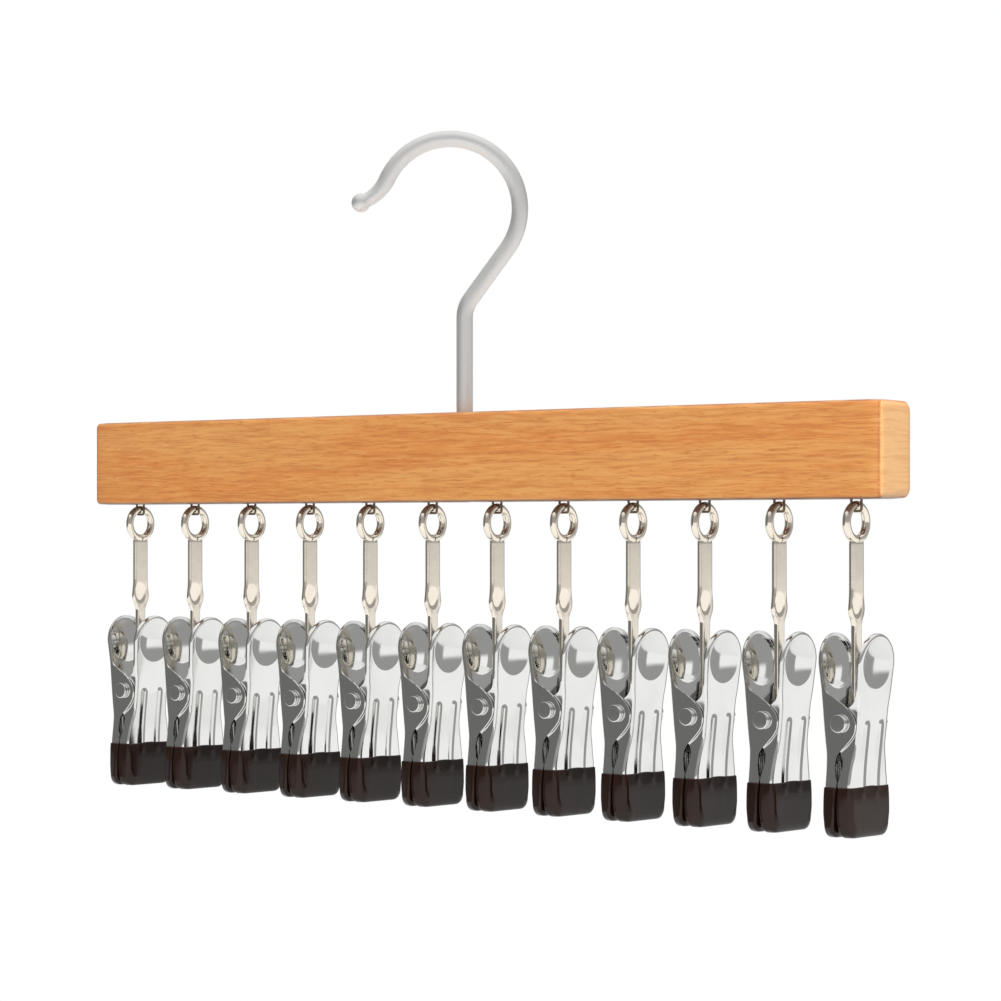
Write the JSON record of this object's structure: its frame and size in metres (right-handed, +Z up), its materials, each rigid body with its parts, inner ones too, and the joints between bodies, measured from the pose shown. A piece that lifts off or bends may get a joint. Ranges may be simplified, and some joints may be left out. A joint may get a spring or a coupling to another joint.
{
  "type": "multi-clip hanger",
  "caption": "Wooden bar hanger with a swivelling wire hook and a row of pressed metal spring clips with soft dipped jaws, each hung from the bar by a ringed strap.",
  "frame": {"origin": "the point under the top of the hook's arc where a rail holds it", "axes": "+X along the bar, -Y the front, +Z up"},
  "size_m": [0.3, 0.0348, 0.197],
  "materials": {
    "hook_steel": "satin wire",
    "wood": "lacquered, light orange-brown",
    "zinc": "zinc plated",
    "nickel": "warm nickel plate",
    "pressed_steel": "bright plated sheet",
    "spring_steel": "bright wire",
    "dip_coat": "soft dark brown PVC, dipped"
  },
  "bodies": {
    "hook_body": {"hook": "hook_steel"},
    "bar_body": {"bar": "wood", "hook_washer": "zinc", "hook_nut": "zinc"},
    "clip_01_strap_body": {"clip_01_strap": "nickel", "clip_01_spring": "spring_steel"},
    "clip_01_left_body": {"clip_01_left_lever": "pressed_steel"},
    "clip_01_right_body": {"clip_01_right_lever": "pressed_steel"},
    "clip_02_strap_body": {"clip_02_strap": "nickel", "clip_02_spring": "spring_steel"},
    "clip_02_left_body": {"clip_02_left_lever": "pressed_steel"},
    "clip_02_right_body": {"clip_02_right_lever": "pressed_steel"},
    "clip_03_strap_body": {"clip_03_strap": "nickel", "clip_03_spring": "spring_steel"},
    "clip_03_left_body": {"clip_03_left_lever": "pressed_steel"},
    "clip_03_right_body": {"clip_03_right_lever": "pressed_steel"},
    "clip_04_strap_body": {"clip_04_strap": "nickel", "clip_04_spring": "spring_steel"},
    "clip_04_left_body": {"clip_04_left_lever": "pressed_steel"},
    "clip_04_right_body": {"clip_04_right_lever": "pressed_steel"},
    "clip_05_strap_body": {"clip_05_strap": "nickel", "clip_05_spring": "spring_steel"},
    "clip_05_left_body": {"clip_05_left_lever": "pressed_steel"},
    "clip_05_right_body": {"clip_05_right_lever": "pressed_steel"},
    "clip_06_strap_body": {"clip_06_strap": "nickel", "clip_06_spring": "spring_steel"},
    "clip_06_left_body": {"clip_06_left_lever": "pressed_steel"},
    "clip_06_right_body": {"clip_06_right_lever": "pressed_steel"},
    "clip_07_strap_body": {"clip_07_strap": "nickel", "clip_07_spring": "spring_steel"},
    "clip_07_left_body": {"clip_07_left_lever": "pressed_steel"},
    "clip_07_right_body": {"clip_07_right_lever": "pressed_steel"},
    "clip_08_strap_body": {"clip_08_strap": "nickel", "clip_08_spring": "spring_steel"},
    "clip_08_left_body": {"clip_08_left_lever": "pressed_steel"},
    "clip_08_right_body": {"clip_08_right_lever": "pressed_steel"},
    "clip_09_strap_body": {"clip_09_strap": "nickel", "clip_09_spring": "spring_steel"},
    "clip_09_left_body": {"clip_09_left_lever": "pressed_steel"},
    "clip_09_right_body": {"clip_09_right_lever": "pressed_steel"},
    "clip_10_strap_body": {"clip_10_strap": "nickel", "clip_10_spring": "spring_steel"},
    "clip_10_left_body": {"clip_10_left_lever": "pressed_steel"},
    "clip_10_right_body": {"clip_10_right_lever": "pressed_steel"},
    "clip_11_strap_body": {"clip_11_strap": "nickel", "clip_11_spring": "spring_steel"},
    "clip_11_left_body": {"clip_11_left_lever": "pressed_steel"},
    "clip_11_right_body": {"clip_11_right_lever": "pressed_steel"},
    "clip_12_strap_body": {"clip_12_strap": "nickel", "clip_12_spring": "spring_steel"},
    "clip_12_left_body": {"clip_12_left_lever": "pressed_steel"},
    "clip_12_right_body": {"clip_12_right_lever": "pressed_steel"}
  },
  "joints": [
    {"name": "bar_swivel", "type": "hinge", "parent": "hook_body", "child": "bar_body", "pos_m": [0.00322, 0.0027, -0.0904], "axis": [0, 0, 1], "continuous": true},
    {"name": "clip_01_swing", "type": "hinge", "parent": "bar_body", "child": "clip_01_strap_body", "pos_m": [-0.13378, 0.0027, -0.1095], "axis": [1, 0, 0], "range_deg": [-85, 85]},
    {"name": "clip_01_right_squeeze", "type": "hinge", "parent": "clip_01_strap_body", "child": "clip_01_right_body", "pos_m": [-0.13378, 0.0027, -0.1623], "axis": [0, -1, 0], "range_deg": [0, 11], "stiffness_Nm_per_rad": 0.05, "springref_deg": -17.19, "deforming": ["clip_01_spring"]},
    {"name": "clip_01_left_squeeze", "type": "hinge", "parent": "clip_01_strap_body", "child": "clip_01_left_body", "pos_m": [-0.13378, 0.0027, -0.1623], "axis": [0, 1, 0], "range_deg": [0, 11], "stiffness_Nm_per_rad": 0.05, "springref_deg": -17.19},
    {"name": "clip_02_swing", "type": "hinge", "parent": "bar_body", "child": "clip_02_strap_body", "pos_m": [-0.10887, 0.0027, -0.1095], "axis": [1, 0, 0], "range_deg": [-85, 85]},
    {"name": "clip_02_right_squeeze", "type": "hinge", "parent": "clip_02_strap_body", "child": "clip_02_right_body", "pos_m": [-0.10887, 0.0027, -0.1623], "axis": [0, -1, 0], "range_deg": [0, 11], "stiffness_Nm_per_rad": 0.05, "springref_deg": -17.19, "deforming": ["clip_02_spring"]},
    {"name": "clip_02_left_squeeze", "type": "hinge", "parent": "clip_02_strap_body", "child": "clip_02_left_body", "pos_m": [-0.10887, 0.0027, -0.1623], "axis": [0, 1, 0], "range_deg": [0, 11], "stiffness_Nm_per_rad": 0.05, "springref_deg": -17.19},
    {"name": "clip_03_swing", "type": "hinge", "parent": "bar_body", "child": "clip_03_strap_body", "pos_m": [-0.08396, 0.0027, -0.1095], "axis": [1, 0, 0], "range_deg": [-85, 85]},
    {"name": "clip_03_right_squeeze", "type": "hinge", "parent": "clip_03_strap_body", "child": "clip_03_right_body", "pos_m": [-0.08396, 0.0027, -0.1623], "axis": [0, -1, 0], "range_deg": [0, 11], "stiffness_Nm_per_rad": 0.05, "springref_deg": -17.19, "deforming": ["clip_03_spring"]},
    {"name": "clip_03_left_squeeze", "type": "hinge", "parent": "clip_03_strap_body", "child": "clip_03_left_body", "pos_m": [-0.08396, 0.0027, -0.1623], "axis": [0, 1, 0], "range_deg": [0, 11], "stiffness_Nm_per_rad": 0.05, "springref_deg": -17.19},
    {"name": "clip_04_swing", "type": "hinge", "parent": "bar_body", "child": "clip_04_strap_body", "pos_m": [-0.05906, 0.0027, -0.1095], "axis": [1, 0, 0], "range_deg": [-85, 85]},
    {"name": "clip_04_right_squeeze", "type": "hinge", "parent": "clip_04_strap_body", "child": "clip_04_right_body", "pos_m": [-0.05906, 0.0027, -0.1623], "axis": [0, -1, 0], "range_deg": [0, 11], "stiffness_Nm_per_rad": 0.05, "springref_deg": -17.19, "deforming": ["clip_04_spring"]},
    {"name": "clip_04_left_squeeze", "type": "hinge", "parent": "clip_04_strap_body", "child": "clip_04_left_body", "pos_m": [-0.05906, 0.0027, -0.1623], "axis": [0, 1, 0], "range_deg": [0, 11], "stiffness_Nm_per_rad": 0.05, "springref_deg": -17.19},
    {"name": "clip_05_swing", "type": "hinge", "parent": "bar_body", "child": "clip_05_strap_body", "pos_m": [-0.03415, 0.0027, -0.1095], "axis": [1, 0, 0], "range_deg": [-85, 85]},
    {"name": "clip_05_right_squeeze", "type": "hinge", "parent": "clip_05_strap_body", "child": "clip_05_right_body", "pos_m": [-0.03415, 0.0027, -0.1623], "axis": [0, -1, 0], "range_deg": [0, 11], "stiffness_Nm_per_rad": 0.05, "springref_deg": -17.19, "deforming": ["clip_05_spring"]},
    {"name": "clip_05_left_squeeze", "type": "hinge", "parent": "clip_05_strap_body", "child": "clip_05_left_body", "pos_m": [-0.03415, 0.0027, -0.1623], "axis": [0, 1, 0], "range_deg": [0, 11], "stiffness_Nm_per_rad": 0.05, "springref_deg": -17.19},
    {"name": "clip_06_swing", "type": "hinge", "parent": "bar_body", "child": "clip_06_strap_body", "pos_m": [-0.00924, 0.0027, -0.1095], "axis": [1, 0, 0], "range_deg": [-85, 85]},
    {"name": "clip_06_right_squeeze", "type": "hinge", "parent": "clip_06_strap_body", "child": "clip_06_right_body", "pos_m": [-0.00924, 0.0027, -0.1623], "axis": [0, -1, 0], "range_deg": [0, 11], "stiffness_Nm_per_rad": 0.05, "springref_deg": -17.19, "deforming": ["clip_06_spring"]},
    {"name": "clip_06_left_squeeze", "type": "hinge", "parent": "clip_06_strap_body", "child": "clip_06_left_body", "pos_m": [-0.00924, 0.0027, -0.1623], "axis": [0, 1, 0], "range_deg": [0, 11], "stiffness_Nm_per_rad": 0.05, "springref_deg": -17.19},
    {"name": "clip_07_swing", "type": "hinge", "parent": "bar_body", "child": "clip_07_strap_body", "pos_m": [0.01567, 0.0027, -0.1095], "axis": [1, 0, 0], "range_deg": [-85, 85]},
    {"name": "clip_07_right_squeeze", "type": "hinge", "parent": "clip_07_strap_body", "child": "clip_07_right_body", "pos_m": [0.01567, 0.0027, -0.1623], "axis": [0, -1, 0], "range_deg": [0, 11], "stiffness_Nm_per_rad": 0.05, "springref_deg": -17.19, "deforming": ["clip_07_spring"]},
    {"name": "clip_07_left_squeeze", "type": "hinge", "parent": "clip_07_strap_body", "child": "clip_07_left_body", "pos_m": [0.01567, 0.0027, -0.1623], "axis": [0, 1, 0], "range_deg": [0, 11], "stiffness_Nm_per_rad": 0.05, "springref_deg": -17.19},
    {"name": "clip_08_swing", "type": "hinge", "parent": "bar_body", "child": "clip_08_strap_body", "pos_m": [0.04058, 0.0027, -0.1095], "axis": [1, 0, 0], "range_deg": [-85, 85]},
    {"name": "clip_08_right_squeeze", "type": "hinge", "parent": "clip_08_strap_body", "child": "clip_08_right_body", "pos_m": [0.04058, 0.0027, -0.1623], "axis": [0, -1, 0], "range_deg": [0, 11], "stiffness_Nm_per_rad": 0.05, "springref_deg": -17.19, "deforming": ["clip_08_spring"]},
    {"name": "clip_08_left_squeeze", "type": "hinge", "parent": "clip_08_strap_body", "child": "clip_08_left_body", "pos_m": [0.04058, 0.0027, -0.1623], "axis": [0, 1, 0], "range_deg": [0, 11], "stiffness_Nm_per_rad": 0.05, "springref_deg": -17.19},
    {"name": "clip_09_swing", "type": "hinge", "parent": "bar_body", "child": "clip_09_strap_body", "pos_m": [0.06549, 0.0027, -0.1095], "axis": [1, 0, 0], "range_deg": [-85, 85]},
    {"name": "clip_09_right_squeeze", "type": "hinge", "parent": "clip_09_strap_body", "child": "clip_09_right_body", "pos_m": [0.06549, 0.0027, -0.1623], "axis": [0, -1, 0], "range_deg": [0, 11], "stiffness_Nm_per_rad": 0.05, "springref_deg": -17.19, "deforming": ["clip_09_spring"]},
    {"name": "clip_09_left_squeeze", "type": "hinge", "parent": "clip_09_strap_body", "child": "clip_09_left_body", "pos_m": [0.06549, 0.0027, -0.1623], "axis": [0, 1, 0], "range_deg": [0, 11], "stiffness_Nm_per_rad": 0.05, "springref_deg": -17.19},
    {"name": "clip_10_swing", "type": "hinge", "parent": "bar_body", "child": "clip_10_strap_body", "pos_m": [0.0904, 0.0027, -0.1095], "axis": [1, 0, 0], "range_deg": [-85, 85]},
    {"name": "clip_10_right_squeeze", "type": "hinge", "parent": "clip_10_strap_body", "child": "clip_10_right_body", "pos_m": [0.0904, 0.0027, -0.1623], "axis": [0, -1, 0], "range_deg": [0, 11], "stiffness_Nm_per_rad": 0.05, "springref_deg": -17.19, "deforming": ["clip_10_spring"]},
    {"name": "clip_10_left_squeeze", "type": "hinge", "parent": "clip_10_strap_body", "child": "clip_10_left_body", "pos_m": [0.0904, 0.0027, -0.1623], "axis": [0, 1, 0], "range_deg": [0, 11], "stiffness_Nm_per_rad": 0.05, "springref_deg": -17.19},
    {"name": "clip_11_swing", "type": "hinge", "parent": "bar_body", "child": "clip_11_strap_body", "pos_m": [0.11531, 0.0027, -0.1095], "axis": [1, 0, 0], "range_deg": [-85, 85]},
    {"name": "clip_11_right_squeeze", "type": "hinge", "parent": "clip_11_strap_body", "child": "clip_11_right_body", "pos_m": [0.11531, 0.0027, -0.1623], "axis": [0, -1, 0], "range_deg": [0, 11], "stiffness_Nm_per_rad": 0.05, "springref_deg": -17.19, "deforming": ["clip_11_spring"]},
    {"name": "clip_11_left_squeeze", "type": "hinge", "parent": "clip_11_strap_body", "child": "clip_11_left_body", "pos_m": [0.11531, 0.0027, -0.1623], "axis": [0, 1, 0], "range_deg": [0, 11], "stiffness_Nm_per_rad": 0.05, "springref_deg": -17.19},
    {"name": "clip_12_swing", "type": "hinge", "parent": "bar_body", "child": "clip_12_strap_body", "pos_m": [0.14022, 0.0027, -0.1095], "axis": [1, 0, 0], "range_deg": [-85, 85]},
    {"name": "clip_12_right_squeeze", "type": "hinge", "parent": "clip_12_strap_body", "child": "clip_12_right_body", "pos_m": [0.14022, 0.0027, -0.1623], "axis": [0, -1, 0], "range_deg": [0, 11], "stiffness_Nm_per_rad": 0.05, "springref_deg": -17.19, "deforming": ["clip_12_spring"]},
    {"name": "clip_12_left_squeeze", "type": "hinge", "parent": "clip_12_strap_body", "child": "clip_12_left_body", "pos_m": [0.14022, 0.0027, -0.1623], "axis": [0, 1, 0], "range_deg": [0, 11], "stiffness_Nm_per_rad": 0.05, "springref_deg": -17.19}
  ],
  "couplings": [
    {"joint": "clip_01_left_squeeze", "follows": "clip_01_right_squeeze", "ratio": 1},
    {"joint": "clip_02_left_squeeze", "follows": "clip_02_right_squeeze", "ratio": 1},
    {"joint": "clip_03_left_squeeze", "follows": "clip_03_right_squeeze", "ratio": 1},
    {"joint": "clip_04_left_squeeze", "follows": "clip_04_right_squeeze", "ratio": 1},
    {"joint": "clip_05_left_squeeze", "follows": "clip_05_right_squeeze", "ratio": 1},
    {"joint": "clip_06_left_squeeze", "follows": "clip_06_right_squeeze", "ratio": 1},
    {"joint": "clip_07_left_squeeze", "follows": "clip_07_right_squeeze", "ratio": 1},
    {"joint": "clip_08_left_squeeze", "follows": "clip_08_right_squeeze", "ratio": 1},
    {"joint": "clip_09_left_squeeze", "follows": "clip_09_right_squeeze", "ratio": 1},
    {"joint": "clip_10_left_squeeze", "follows": "clip_10_right_squeeze", "ratio": 1},
    {"joint": "clip_11_left_squeeze", "follows": "clip_11_right_squeeze", "ratio": 1},
    {"joint": "clip_12_left_squeeze", "follows": "clip_12_right_squeeze", "ratio": 1}
  ]
}
